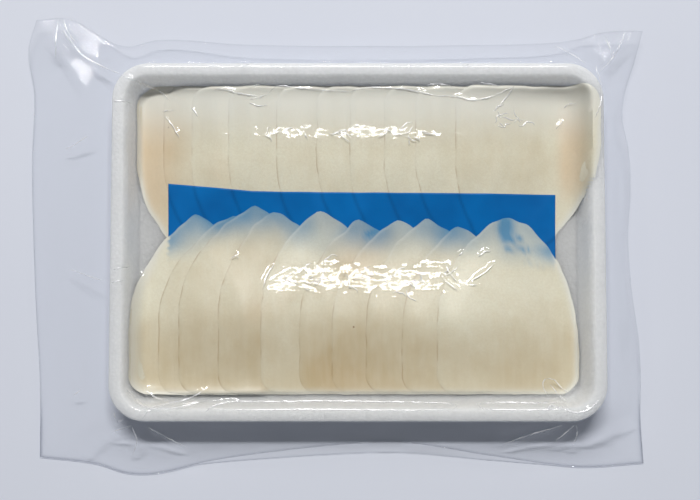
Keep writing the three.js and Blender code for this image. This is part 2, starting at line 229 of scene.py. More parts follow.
# Folds of the flaps, listed like the creases
FOLDS = [
    (0.9, 0.8, [[(-99.1, 69.8), (-108.4, 74.5), (-116.9, 79.2), (-126, 92)]]),
    (0.9, 0.8, [[(101, 71.1), (106.9, 76.7), (110.4, 83.1), (113, 89)]]),
    (0.6, 0.8, [
        [(-99.1, 69.8), (-108.4, 74.5), (-116.9, 79.2)],
        [(-127.8, 77.9), (-127.1, 87.3), (-126.4, 94.6)],
        [(-118.6, 83.9), (-122.5, 89), (-124.7, 94.6)],
        [(104.5, 86.9), (106.1, 80.9), (106.9, 77.5)],
        [(83, 83.1), (88.4, 79.6), (95.1, 74.5)],
        [(-123.3, 39.3), (-119.5, 40.5), (-112.8, 44.4)],
        [(-120, -11.5), (-112.4, -14), (-104.8, -16.6)],
        [(-118, -63.7), (-114.3, -61.2)],
    ]),
    (0.9, 0.9, [
        [(-92.3, -76.2), (-90.6, -81.9), (-93.4, -88.4)],
        [(-85.7, -76.6), (-79.5, -80.2), (-71.6, -85.1)],
        [(60.6, -83.5), (70.9, -79.4), (83.3, -75.7)],
        [(89.1, -75.3), (90.3, -79.4), (89, -84.3)],
        [(88.3, -75.7), (84.5, -79.4), (81.6, -82.3)],
        [(-99.8, -70), (-99, -74.5), (-95.7, -72.9)],
        [(-101.4, -78.6), (-96.4, -77), (-92.8, -75.7)],
    ]),
    (1.3, 1.8, [
        [(92.3, -79.4), (99.8, -77), (106.4, -74.9), (116.7, -76.6)],
        [(-101.4, -72.9), (-107.1, -80.2), (-114.4, -90.9)],
    ]),
    (0.5, 1.6, [
        [(-127.1, 39.3), (-126.9, -3.1), (-125.4, -45), (-122.8, -78.2)],
        [(-132.7, 67), (-132.4, 26.5), (-131.1, -24.1), (-131.3, -65.8)],
        [(-110, 30), (-111, -20), (-112, -60)],
        [(109, 30), (109.5, -10), (111, -50)],
    ]),
]

# Places where the embossing of the free film is deep: centre and half sizes
RIBBED = [
    ((-126, 86), (7, 9)),
    ((106, 86), (8, 6)),
    ((106, -77), (10, 5)),
    ((112, -35), (3, 10)),
    ((72, -79), (14, 4)),
]

# Crinkled bands over the rows: where each starts and ends in Y, its middle in X and where it fades
BANDS = [((-24, -21), (-11, -8), 0, (36, 42)), ((41, 43.5), (47.5, 50), -2, (38, 46))]
# Loops that the film makes along the front wall, drawn as ribbons with painted highlights
LOOPS = [
    [(-62, -65.2), (-40, -65.8), (-10, -65.3), (20, -65.9), (38, -66.2), (41, -67.5), (38, -69)],
    [(38, -69), (10, -69.3), (-20, -68.8), (-50, -69.2), (-62, -68.6)],
    [(48.4, -66.5), (60, -65.9), (75, -66.4), (87.7, -66.2)],
    [(48.4, -66.5), (50, -69), (66, -69.2), (84, -68.9)],
]
# Wrinkles in those bands and at the back right, drawn as ribbons with painted highlights: how many, and
# the ranges in X and Y
WRINKLES = [(24, (-40, 37), (-21.5, -10.5)), (20, (-41, 31), (43.5, 47.5)), (9, (55, 68), (47, 57))]
# Ribbons along the lines: half width, height of the sides and the middle, and length of a step
RIBBON_HALF_WIDTH = 0.26
RIBBON_SIDE, RIBBON_MIDDLE = 0.03, 0.16
RIBBON_STEP = 0.7
WIDEST_RIBBON_RIDGE = 1.4

# Grid of heights that all layers are worked out on
STEP = 0.6
GRID_X = np.arange(-142.0, 123.0, STEP)
GRID_Y = np.arange(-99.0, 97.0, STEP)
GX, GY = np.meshgrid(GRID_X, GRID_Y)

random = np.random.default_rng(7)


def smoothstep(value, low, high):
    """0 up to low and 1 from high on, with a smooth rise between them."""
    share = np.clip((value - low) / (high - low), 0.0, 1.0)
    return share * share * (3.0 - 2.0 * share)


def lerp(low, high, share):
    """Mix of two values: low where the share is 0 and high where it is 1."""
    return low + (high - low) * share


def blur(field, sigma, sigma_x=None):
    """Gaussian blur of a grid field, in Y and then in X; sigma is in millimetres."""
    for spread in (sigma, sigma_x or sigma):
        reach = int(math.ceil(2.6 * spread / STEP))
        weights = np.exp(-0.5 * (np.arange(-reach, reach + 1) * STEP / spread) ** 2)
        weights /= weights.sum()
        padded = np.pad(field, [(reach, reach), (0, 0)], mode="edge")
        rows = len(field)
        field = sum(weight * padded[k:k + rows] for k, weight in enumerate(weights)).T
    return field


def noise(sigma, sigma_x=None):
    """Smooth random field with a mean of 0 and a spread of 1."""
    field = blur(random.standard_normal(GX.shape), sigma, sigma_x)
    return (field - field.mean()) / field.std()


def sample(field, x, y):
    """Value of a grid field at any points."""
    column = np.clip((x - GRID_X[0]) / STEP, 0, len(GRID_X) - 1.001)
    row = np.clip((y - GRID_Y[0]) / STEP, 0, len(GRID_Y) - 1.001)
    i, j = column.astype(int), row.astype(int)
    u, v = column - i, row - j
    low = lerp(field[j, i], field[j, i + 1], u)
    high = lerp(field[j + 1, i], field[j + 1, i + 1], u)
    return lerp(low, high, v)


def window(outline, margin=1.5):
    """Rows and columns of the grid round an outline."""
    low, high = outline.min(axis=0) - margin, outline.max(axis=0) + margin
    columns = slice(*np.searchsorted(GRID_X, (low[0], high[0])))
    rows = slice(*np.searchsorted(GRID_Y, (low[1], high[1])))
    return rows, columns


def rim_distance(x, y):
    """Distance out from the rim's outer edge, negative inside it."""
    past_x = np.abs(x) - (RIM_HALF_X - RIM_CORNER)
    past_y = np.abs(y) - (RIM_HALF_Y - RIM_CORNER)
    outside = np.hypot(np.maximum(past_x, 0), np.maximum(past_y, 0))
    return outside + np.minimum(np.maximum(past_x, past_y), 0) - RIM_CORNER


def length_so_far(points):
    """Length of an open line up to each of its points, seen from above."""
    sides = points[1:, :2] - points[:-1, :2]
    return np.concatenate([[0], np.cumsum(np.hypot(*sides.T))])


def line_distance(points, x, y):
    """Distance to an open line, and how far along it the nearest point is, from 0 to 1."""
    points = np.array(points, float)
    sides = points[1:] - points[:-1]
    lengths = np.hypot(*sides.T)
    start = length_so_far(points)
    nearest = np.full(np.shape(x), np.inf)
    along = np.zeros(np.shape(x))
    for a, side, length, before in zip(points, sides, lengths, start):
        share = np.clip(((x - a[0]) * side[0] + (y - a[1]) * side[1]) / length**2, 0, 1)
        gap = np.hypot(x - a[0] - share * side[0], y - a[1] - share * side[1])
        closer = gap < nearest
        nearest = np.where(closer, gap, nearest)
        along = np.where(closer, (before + share * length) / start[-1], along)
    return nearest, along


def is_inside(outline, x, y):
    """Whether points lie in a closed outline: a ray from each crosses it an odd number of times."""
    inside = np.zeros(np.shape(x), bool)
    for a, b in zip(outline, np.roll(outline, -1, axis=0)):
        if a[1] == b[1]:
            continue
        crosses = (a[1] > y) != (b[1] > y)
        inside ^= crosses & (x < a[0] + (y - a[1]) / (b[1] - a[1]) * (b[0] - a[0]))
    return inside


def inside_distance(outline, x, y):
    """Distance to a closed outline, positive inside it."""
    gap, _ = line_distance(np.vstack([outline, outline[:1]]), x, y)
    return np.where(is_inside(outline, x, y), gap, -gap)


def evenly(outline, count):
    """Closed outline with evenly spaced points."""
    closed = np.vstack([outline, outline[:1]])
    length = length_so_far(closed)
    places = np.linspace(0, length[-1], count, endpoint=False)
    return np.stack([np.interp(places, length, closed[:, axis]) for axis in (0, 1)], axis=1)


def bell(distance, width):
    """1 at no distance, falling smoothly over about the width."""
    return np.exp(-0.5 * (distance / width) ** 2)


def oval(centre, sizes, x, y):
    """Distance from a centre, as a share of the half sizes in X and Y."""
    return np.hypot((x - centre[0]) / sizes[0], (y - centre[1]) / sizes[1])


def make_mesh(name, points, faces, attributes=None):
    """Smooth-shaded mesh object from points in millimetres round the tray's middle."""
    placed = np.array(points, float)
    placed[:, :2] += TRAY_MIDDLE[:2]
    mesh = bpy.data.meshes.new(name)
    mesh.from_pydata((placed * MM).tolist(), [], faces)
    for key, values in (attributes or {}).items():
        layer = mesh.attributes.new(key, "FLOAT", "POINT")
        layer.data.foreach_set("value", np.asarray(values, np.float32))
    mesh.polygons.foreach_set("use_smooth", [True] * len(mesh.polygons))
    made = bpy.data.objects.new(name, mesh)
    bpy.context.scene.collection.objects.link(made)
    return made


def place(piece, material, node):
    """Gives a piece its material, hangs it on the root body and hides the model's part that it stands
    for.
    """
    piece.data.materials.append(material)
    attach(piece, "root")
    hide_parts(node)


# Materials


def linear(red, green, blue):
    """Linear colour from 8-bit display values."""
    shares = (np.array([red, green, blue]) / 255.0).tolist()
    return [c / 12.92 if c < 0.04045 else ((c + 0.055) / 1.055) ** 2.4 for c in shares] + [1.0]


class Shader:
    """A material and short ways to add its nodes."""

    def __init__(self, name):
        self.material = bpy.data.materials.new(name)
        self.material.use_nodes = True
        self.nodes = self.material.node_tree.nodes
        self.nodes.clear()
        self.output = self.nodes.new("ShaderNodeOutputMaterial")

    def add(self, kind, inputs=None, **settings):
        made = self.nodes.new("ShaderNode" + kind)
        for key, value in settings.items():
            setattr(made, key, value)
        for key, value in (inputs or {}).items():
            self.put(made.inputs[key], value)
        return made

    def put(self, socket, value):
        if isinstance(value, bpy.types.NodeSocket):
            self.material.node_tree.links.new(value, socket)
        else:
            socket.default_value = value

    def attribute(self, name):
        return self.add("Attribute", attribute_name=name).outputs["Fac"]

    def position(self, scale=(1, 1, 1), turn=0.0):
        vector = self.add("TexCoord").outputs["Object"]
        inputs = {"Vector": vector, "Scale": scale, "Rotation": (0, 0, math.radians(turn))}
        return self.add("Mapping", inputs).outputs["Vector"]

    def noise(self, vector, scale, detail=2.0, roughness=0.5):
        inputs = {"Vector": vector, "Scale": scale, "Detail": detail, "Roughness": roughness}
        return self.add("TexNoise", inputs).outputs["Fac"]

    def math(self, operation, first, second):
        return self.add("Math", {0: first, 1: second}, operation=operation).outputs[0]

    def ramp(self, value, low, high, start=0.0, end=1.0):
        inputs = {"Value": value, "From Min": low, "From Max": high, "To Min": start, "To Max": end}
        return self.add("MapRange", inputs).outputs["Result"]

    def mix(self, share, first, second):
        made = self.add("Mix", data_type="RGBA")
        self.put(made.inputs["Factor"], share)
        self.put(made.inputs[6], first)
        self.put(made.inputs[7], second)
        return made.outputs[2]

    def bump(self, height, strength, distance):
        inputs = {"Height": height, "Strength": strength, "Distance": distance}
        return self.add("Bump", inputs).outputs["Normal"]

    def surface(self, socket):
        self.put(self.output.inputs["Surface"], socket)
        return self.material


def foam_material():
    """White expanded foam with a fine grain of beads."""
    s = Shader("foam")
    where = s.position()
    beads = s.add("TexVoronoi", {"Vector": where, "Scale": 620.0}).outputs["Distance"]
    grain = s.noise(where, 900.0, 3.0)
    cloud = s.ramp(s.noise(where, 60.0), 0.35, 0.65)
    colour = s.mix(cloud, linear(226, 227, 226), linear(233, 234, 233))
    colour = s.mix(s.ramp(beads, 0.1, 0.7, 0.0, 0.25), colour, linear(206, 208, 206))
    height = s.math("ADD", s.math("MULTIPLY", beads, -0.7), grain)
    return s.surface(s.add("BsdfPrincipled", {
        "Base Color": colour,
        "Roughness": 0.55,
        "Specular IOR Level": 0.35,
        "Subsurface Weight": 0.95,
        "Subsurface Radius": (0.014, 0.014, 0.014),
        "Subsurface Scale": 1.0,
        "Normal": s.bump(height, 0.5, 0.0004),
    }).outputs["BSDF"])


def flesh_material():
    """Moist ivory flesh: tan patches, faint fibres and specks, blue where the sheet shows through;
    painted shade along slice edges and at the front ends, painted light at the back ends.
    """
    s = Shader("seafood")
    where = s.position()
    fibres = s.noise(s.position((1.0, 0.12, 1.0)), 420.0, 3.0)
    grain = s.noise(where, 1100.0, 3.0, 0.7)
    mottle = s.noise(where, 75.0, 3.0)
    # tanner where the attribute says, including painted shade towards the front end of the front row
    tan_and_shade_share = s.math("ADD", s.attribute("tan"), s.ramp(mottle, 0.3, 0.7, -0.15, 0.15))
    colour = s.mix(tan_and_shade_share, linear(229, 225, 204), linear(192, 172, 134))
    colour = s.mix(s.ramp(fibres, 0.35, 0.75, 0.0, 0.14), colour, linear(238, 234, 220))
    colour = s.mix(s.attribute("blush"), colour, linear(214, 172, 126))
    colour = s.mix(s.ramp(grain, 0.3, 0.7, 0.0, 0.3), colour, linear(196, 182, 152))
    spots = s.add("TexVoronoi", {"Vector": where, "Scale": 45.0}).outputs["Distance"]
    colour = s.mix(s.ramp(spots, 0.012, 0.022, 0.75, 0.0), colour, linear(122, 84, 52))
    colour = s.mix(s.attribute("sheet"), colour, linear(60, 136, 180))
    # painted shade in the crease along each slice's left edge, brownish as juice gathers there
    colour = s.mix(s.attribute("seam_shade"), colour, linear(164, 126, 82))
    # paler towards ivory: thin outer edges that show the white tray, and painted light at the back of the
    # back row, the left end of the front row and along edges near the tips
    colour = s.mix(s.attribute("pale_and_lit"), colour, linear(226, 225, 216))
    return s.surface(s.add("BsdfPrincipled", {
        "Base Color": colour,
        "Roughness": 0.42,
        "Specular IOR Level": 0.3,
        "Subsurface Weight": 0.08,
        "Subsurface Radius": (0.0012, 0.0009, 0.0007),
        "Subsurface Scale": 0.6,
        "Normal": s.bump(s.math("ADD", fibres, mottle), 0.12, 0.0004),
    }).outputs["BSDF"])


def sheet_material():
    """Saturated blue plastic sheet, with painted shade where a slice's edge lies under it."""
    s = Shader("sheet")
    where = s.position()
    cloud = s.ramp(s.noise(where, 55.0), 0.3, 0.7)
    colour = s.mix(cloud, linear(0, 98, 168), linear(0, 112, 186))
    # painted shade along the steps where slice edges lie under the sheet
    colour = s.mix(s.attribute("seam_shade"), colour, linear(0, 50, 92))
    return s.surface(s.add("BsdfPrincipled", {
        "Base Color": colour,
        "Roughness": 0.4,
        "Specular IOR Level": 0.15,
        "Normal": s.bump(s.noise(where, 500.0), 0.08, 0.0002),
    }).outputs["BSDF"])


# Film: what it mirrors seen face on, its tints in the middle and at the edge, and its embossing
FILM_MIRROR = 0.026
FILM_CLEAR, FILM_EDGE = (0.988, 0.99, 0.993, 1), (0.72, 0.73, 0.76, 1)
FILM_RELIEF = 0.00006
RIB_SCALE, RIB_TURNS = 250.0, (40, -50)
CELL_SCALE = 620.0


def film_material():
    """Clear film: it mirrors more at a slant, and has a finely embossed grid where it is free."""
    s = Shader("film")
    flat = (1.0, 1.0, 0.0)
    ribs = [
        s.add("TexWave", {"Vector": s.position(flat, turn), "Scale": RIB_SCALE, "Distortion": 0.4})
        for turn in RIB_TURNS
    ]
    grid = s.math("ADD", ribs[0].outputs["Fac"], ribs[1].outputs["Fac"])
    emboss = s.math("MULTIPLY", grid, s.attribute("ribs"))
    cells = s.noise(s.position(flat), CELL_SCALE, 2.0, 0.6)
    cells = s.math("MULTIPLY", cells, s.attribute("crinkle"))
    normal = s.bump(s.math("ADD", emboss, cells), 1.0, FILM_RELIEF)
    gloss = s.add("BsdfGlossy", {"Color": (1, 1, 1, 1), "Roughness": 0.06, "Normal": normal})
    tint = s.mix(s.attribute("edge"), FILM_CLEAR, FILM_EDGE)
    clear = s.add("BsdfTransparent", {"Color": tint})
    slant = s.add("LayerWeight", {"Blend": 0.5, "Normal": normal}).outputs["Facing"]
    share = s.ramp(s.math("POWER", slant, 5.0), 0.0, 1.0, FILM_MIRROR, 1.0)
    both = s.add("MixShader", {0: share, 1: clear.outputs["BSDF"], 2: gloss.outputs["BSDF"]})
    return s.surface(both.outputs["Shader"])


def crease_highlight_material():
    """Sharp creases in the film: clear film with a gloss, and a matt white share that paints the bright
    highlight lines along the creases.
    """
    s = Shader("film_crease_highlight")
    gloss = s.add("BsdfGlossy", {"Color": (1, 1, 1, 1), "Roughness": 0.25})
    # painted highlight: a matt white that shows the creases as bright lines
    painted_highlight = s.add("BsdfDiffuse", {"Color": linear(246, 247, 250)})
    clear = s.add("BsdfTransparent", {"Color": (0.97, 0.975, 0.98, 1)})
    patchy = s.ramp(s.noise(s.position(), 260.0), 0.35, 0.65, 0.12, 0.8)
    shiny = s.add("MixShader", {0: 0.3, 1: painted_highlight.outputs["BSDF"], 2: gloss.outputs["BSDF"]})
    both = s.add("MixShader", {0: patchy, 1: clear.outputs["BSDF"], 2: shiny.outputs["Shader"]})
    return s.surface(both.outputs["Shader"])


def table_material():
    """Matt table, nearly white with a little blue."""
    s = Shader("table")
    cloud = s.ramp(s.noise(s.position(), 3.0), 0.3, 0.7)
    colour = s.mix(cloud, linear(212, 216, 228), linear(216, 220, 231))
    return s.surface(s.add("BsdfPrincipled", {"Base Color": colour, "Roughness": 0.7}).outputs["BSDF"])


# Foam tray


def round_off(line, times):
    """Open line with its corners cut, again and again."""
    for _ in range(times):
        near = lerp(line[:-1], line[1:], 0.25)
        far = lerp(line[:-1], line[1:], 0.75)
        line = np.vstack([line[:1], np.stack([near, far], axis=1).reshape(-1, 2)[1:-1], line[-1:]])
    return line


def tray_section():
    """Distance out from the rim's edge and height, from the inner floor over the lip to the foot."""
    floor = FOOT + FOAM
    top = -LIP_WIDTH
    bottom = top - WALL_RUN
    under = RIM_TOP - LIP_DEPTH
    return round_off(np.array([
        (bottom - FLOOR_FILLET, floor),
        (bottom - 0.1 * FLOOR_FILLET, floor + 0.05),
        (top - 0.2, RIM_TOP - 0.2),
        (top + 2.4, RIM_TOP),
        (-1.6, RIM_TOP),
        (0.0, RIM_TOP - 0.1),
        (0.0, under),
        (-0.8, under - 0.4),
        (top + FOAM, under),
        (bottom + FOAM, FOOT + 0.2),
        (bottom + FOAM - 1.6, FOOT),
    ]), 3)


def tray_height(line, out):
    """Height of the tray's upper surface at a distance out from the rim's edge."""
    upper = line[:int(np.argmax(line[:, 0])) + 1]
    return np.interp(out, upper[:, 0], upper[:, 1])


def spokes(per_corner=18, spacing=5.0):
    """Core point and outward direction of each spoke round the rim."""
    reach = np.array([RIM_HALF_X - RIM_CORNER, RIM_HALF_Y - RIM_CORNER])
    cores, aways = [], []
    for corner, signs in enumerate([(1, 1), (-1, 1), (-1, -1), (1, -1)]):
        start, end = corner * math.pi / 2, (corner + 1) * math.pi / 2
        for angle in np.linspace(start, end, per_corner):
            cores.append(reach * signs)
            aways.append((math.cos(angle), math.sin(angle)))
        along = np.array([-math.sin(end), math.cos(end)])
        for distance in np.arange(spacing, 2 * reach[corner % 2] - spacing / 2, spacing):
            cores.append(reach * signs + along * distance)
            aways.append((math.cos(end), math.sin(end)))
    return np.array(cores), np.array(aways)


def loft_faces(rings, count):
    """Quads between closed rings of points that follow each other."""
    faces = []
    for ring in range(rings - 1):
        for k in range(count):
            a, d = ring * count + k, ring * count + (k + 1) % count
            faces.append((a, a + count, d + count, d))
    return faces


def build_tray(line, material):
    """The tray's section carried round the rim, with a floor and a foot; its rim is a little uneven."""
    cores, aways = spokes()
    count = len(cores)
    points = []
    for out, height in line:
        flat = cores + aways * (RIM_CORNER + out)
        wobble = RIM_WOBBLE * np.sin(flat[:, 0] / 13.0 + 1.0) * np.cos(flat[:, 1] / 17.0)
        raised = height + wobble * smoothstep(height, FOOT + 4, RIM_TOP)
        points.append(np.column_stack([flat, np.broadcast_to(raised, count)]))
    faces = loft_faces(len(line), count)
    last = (len(line) - 1) * count
    faces.append(tuple(range(count)))
    faces.append(tuple(range(last + count - 1, last - 1, -1)))
    place(make_mesh("tray", np.vstack(points), faces), material, "foam_tray")


# Slices and sheet

# Places of a slice's rings from its edge at 0 to its middle at 1, close together at the edge
RING_SHARES = np.concatenate([
    [0, 0.004, 0.009, 0.016, 0.026, 0.04, 0.058, 0.08],
    np.linspace(0.11, 0.97, 18),
])
LOWER_SHARES = RING_SHARES[1::3]


class Slice:
    """One slice: row is "front" or "back", and number counts from the left."""

    def __init__(self, row, number, left, tip, tone):
        self.row, self.number = row, number
        self.left, self.tip, self.tone = left, tip, tone
        self.side = 1 if row == "front" else -1
        self.end = FRONT_END if row == "front" else BACK_END
        self.end_thin = FRONT_END_THIN if row == "front" else BACK_END_THIN
        self.is_last = row == "front" and number == len(FRONT_SLICES)
        self.edge = self.ragged(self.outline())
        self.sides = self.outline(PAST_END)

    def outline(self, extra=0.0):
        """Outline of the slice; extra moves its blunt end out. The back row is turned over in Y."""
        end = self.end + extra
        tip_x, length = self.tip[0] - self.left, self.side * self.tip[1] + end
        turn = np.linspace(0, math.pi / 2, 12)
        arch = np.linspace(0, math.pi / 2, 60)

        def bow(reach, height, point):
            across = tip_x + reach * np.abs(np.cos(arch)) ** (2 * point)
            return np.column_stack([across, length - height + height * np.sin(arch)])

        def corner(x, start):
            x = x + SLICE_CORNER * np.cos(turn + start)
            return np.column_stack([x, SLICE_CORNER * (1 + np.sin(turn + start))])

        points = np.vstack([
            corner(SLICE_CORNER, math.pi),
            corner(SLICE_WIDTH - SLICE_CORNER, 1.5 * math.pi),
            bow(SLICE_WIDTH - tip_x, RIGHT_ARCH, LAST_POINT if self.is_last else RIGHT_POINT),
            bow(-tip_x, LEFT_ARCH, LEFT_POINT)[::-1][1:],
        ])
        points = np.column_stack([points[:, 0] + self.left, self.side * (points[:, 1] - end)])
        return evenly(points if self.side > 0 else points[::-1], OUTLINE_POINTS)

    def ragged(self, points):
        """The outline a little uneven, most of all near the tip."""
        draw = np.random.default_rng(10 * self.number + self.side)
        turn = np.linspace(0, 2 * math.pi, len(points), endpoint=False)
        waves = sum(
            draw.normal() * np.sin(count * turn + draw.uniform(0, 6.3)) / math.sqrt(count)
            for count in OUTLINE_WAVES
        )
        near_tip = smoothstep(self.side * (points[:, 1] - self.tip[1]), -26, -4)
        out = points - points.mean(axis=0)
        out /= np.hypot(*out.T)[:, None]
        return points + out * (waves * lerp(0.25, 0.9, near_tip))[:, None]

    def dent(self, x, y):
        """1 in the thin place of the last slice of the front row, and 0 elsewhere."""
        if not self.is_last:
            return np.zeros(np.shape(x))
        return bell(oval(*DENT, x, y), 0.6)

    def thickness(self, x, y, inside):
        """Thin at its tip and sides, and a little less at its blunt end."""
        body = lerp(SLICE_TIP_THICK, SLICE_THICK, smoothstep(np.abs(y - self.tip[1]), 0, SLICE_SLANT))
        body *= lerp(self.end_thin, 1.0, smoothstep(self.end + self.side * y, *END_THIN_REACH))
        from_side = inside_distance(self.sides, x, y)
        thick = lerp(SLICE_EDGE, body, smoothstep(from_side, 0, SLICE_BEVEL))
        thick *= 1 - (1 - np.clip(inside / EDGE_ROUND, 0, 1)) ** 2
        return thick * (1 - DENT_DEPTH * self.dent(x, y))


def union_softness(slices, on_sheet):
    """1 at the outer edge of all that lies in the tray, falling to 0 a few millimetres inside it."""
    covered = on_sheet.copy()
    for piece in slices:
        part = window(piece.edge)
        covered[part] |= is_inside(piece.edge, GX[part], GY[part])
    return 1 - smoothstep(blur(covered.astype(float), 2.2), 0.5, 0.98)


def front_tones(piece, x, y, inside, spots):
    """Tanner towards the front end, partly its own colour and partly painted shade where the row slopes
    down away from the lamp; blush in spots; and a paler left end of the row, partly painted light where
    it rises up the wall.
    """
    # partly painted shade: the front row darkens towards its front end, where it slopes away from the
    # lamp
    blunt_tan_and_shade = 0.58 * smoothstep(-y, 18, 54)
    # partly painted light: the left end of the row is lightened where it rises up the shaded wall
    pale_and_lit = 0.6 * (1 - smoothstep(inside, 1, 5)) * smoothstep(piece.left + 14 - x, 0, 6)
    return blunt_tan_and_shade, 0.15 * spots, pale_and_lit if piece.number == 1 else 0.0


def back_tones(x, y, spots):
    """Orange-tan towards both ends of the row and in spots, and back ends lightened by painted light
    where the rim's shadow falls.
    """
    left_end = smoothstep(-x, 66, 86) * smoothstep(y, -5, 20)
    right_end = smoothstep(x, 82, 88) * (1 - smoothstep(x, 92, 98)) * smoothstep(y, 10, 30)
    blush = 0.4 * left_end + 0.4 * right_end + 0.12 * spots
    # painted light: the back of the row is lightened where the rim's shadow falls on it
    return 0.0, blush, 0.9 * smoothstep(y, 38, 62)


def sheet_through(piece, x, y, z, fields):
    """How blue a slice looks from the sheet under it: where it is thin or dented, and painted shade along
    folds near the tips.
    """
    depth = z - sample(fields["sheet"], x, y)
    tint = sample(fields["tint"], x, y)
    patchy = np.clip(0.8 + 0.25 * sample(fields["mottle"], 1.7 * x, 1.7 * y), 0.5, 1.1)
    over = patchy * np.exp(-np.maximum(depth, 0) / SHOWS_THROUGH) * tint
    # painted shade of the small folds near the tips, drawn in the sheet's blue
    fold_shades = sum(bell(line_distance(line, x, y)[0], FOLD_SHADE_WIDTH) for line in TIP_FOLD_SHADES)
    dent_and_fold_shade = 0.75 * piece.dent(x, y) + 0.4 * fold_shades
    return np.clip(over + dent_and_fold_shade * (tint if piece.side > 0 else 0), 0, 0.9)


def slice_looks(piece, x, y, z, inside, fields):
    """Values at the vertices of a slice that its material reads."""
    spots = smoothstep(sample(fields["blush"], x, y), 0.8, 2.0)
    if piece.side > 0:
        blunt_tan_and_shade, blush, pale_and_lit = front_tones(piece, x, y, inside, spots)
    else:
        blunt_tan_and_shade, blush, pale_and_lit = back_tones(x, y, spots)
    tan = 0.45 * piece.tone + blunt_tan_and_shade + 0.08 * sample(fields["mottle"], x + 31 * piece.tone, y)
    left = smoothstep(piece.tip[0] - x, 0, 6)
    away = smoothstep(piece.side * (piece.tip[1] - y), 8, 22)
    # painted highlight along the left edge near the tip
    painted_edge_highlight = 0.25 * bell(inside - 0.5, 0.35) * left * (1 - away)
    dots = np.clip(0.45 + 0.6 * sample(fields["dots"], x, y), 0.1, 1)
    return {
        "tan": np.clip(tan, 0, 1),
        "blush": blush,
        "pale_and_lit": np.maximum(pale_and_lit, np.maximum(0.85 * sample(fields["rind"], x, y), painted_edge_highlight)),
        "sheet": sheet_through(piece, x, y, z, fields),
        # painted crease shade along the left edge, brownish as juice gathers there
        "seam_shade": 0.5 * bell(inside, SEAM_SHADE_WIDTH) * left * away * dots,
    }


def build_slice(piece, under, fields, material):
    """Closed mesh of a slice in rings from its edge to its middle, top and underside."""
    outline = piece.edge
    middle = outline.mean(axis=0)
    count = len(outline)

    def disc(shares):
        return np.vstack([lerp(outline, middle, share) for share in shares] + [middle[None]])

    flat, low_flat = disc(RING_SHARES), disc(LOWER_SHARES)
    inside = np.maximum(inside_distance(outline, flat[:, 0], flat[:, 1]), 0)
    inside[:count] = 0.0
    top = sample(under, flat[:, 0], flat[:, 1]) + piece.thickness(flat[:, 0], flat[:, 1], inside)
    low = sample(under, low_flat[:, 0], low_flat[:, 1]) - UNDERSIDE_GAP
    upper, lower = np.column_stack([flat, top]), np.column_stack([low_flat, low])

    def fan(rings, start):
        """Faces of a disc whose rings begin at the outline and whose last point is its middle."""
        inner = [
            tuple(v - count + start if v >= count else v for v in face)
            for face in loft_faces(rings, count)
        ]
        last = (rings - 2) * count + start
        return inner + [(last + k, last + count, last + (k + 1) % count) for k in range(count)]

    faces = [face[::-1] for face in fan(len(RING_SHARES), count)]
    faces += fan(len(LOWER_SHARES) + 1, len(upper))
    looks = slice_looks(piece, flat[:, 0], flat[:, 1], top, inside, fields)
    looks = {key: np.concatenate([look, np.full(len(lower), look.mean())]) for key, look in looks.items()}
    made = make_mesh(f"seafood_{piece.row}_{piece.number:02d}", np.vstack([upper, lower]), faces, looks)
    made.data.set_sharp_from_angle(angle=SHARP_EDGE)
    place(made, material, f"{piece.row}_slice_{piece.number:02d}")


def sheet_rows(count_x, count_y):
    """Points of the sheet, row by row from its front edge to its back edge."""
    x = np.linspace(SHEET_LEFT, SHEET_RIGHT, count_x)
    front = np.interp(x, *np.array(SHEET_FRONT).T)
    back = np.interp(x, *np.array(SHEET_BACK).T)
    share = np.linspace(0, 1, count_y)[:, None]
    return np.broadcast_to(x, (count_y, count_x)), lerp(front, back, share)


def build_sheet(under, seam_shades, material):
    """The blue sheet as one closed mesh that lies on what is under it."""
    x, y = sheet_rows(230, 50)
    flat = np.column_stack([x.ravel(), y.ravel()])
    low = sample(under, flat[:, 0], flat[:, 1])
    points = np.vstack([np.column_stack([flat, low + SHEET_THICK]), np.column_stack([flat, low])])
    ids = np.arange(x.size).reshape(x.shape)
    quads = np.stack([ids[:-1, :-1], ids[:-1, 1:], ids[1:, 1:], ids[1:, :-1]], axis=-1).reshape(-1, 4)
    lower = ids.size + quads[:, ::-1]
    rim = np.concatenate([ids[0, :-1], ids[:-1, -1], ids[-1, :0:-1], ids[:0:-1, 0]])
    ahead = np.roll(rim, -1)
    walls = np.stack([rim, rim + ids.size, ahead + ids.size, ahead], axis=1)
    shade = sample(seam_shades, flat[:, 0], flat[:, 1])
    faces = quads.tolist() + lower.tolist() + walls.tolist()
    piece = make_mesh("separator", points, faces, {"seam_shade": np.concatenate([shade, shade])})
    place(piece, material, "blue_sheet")


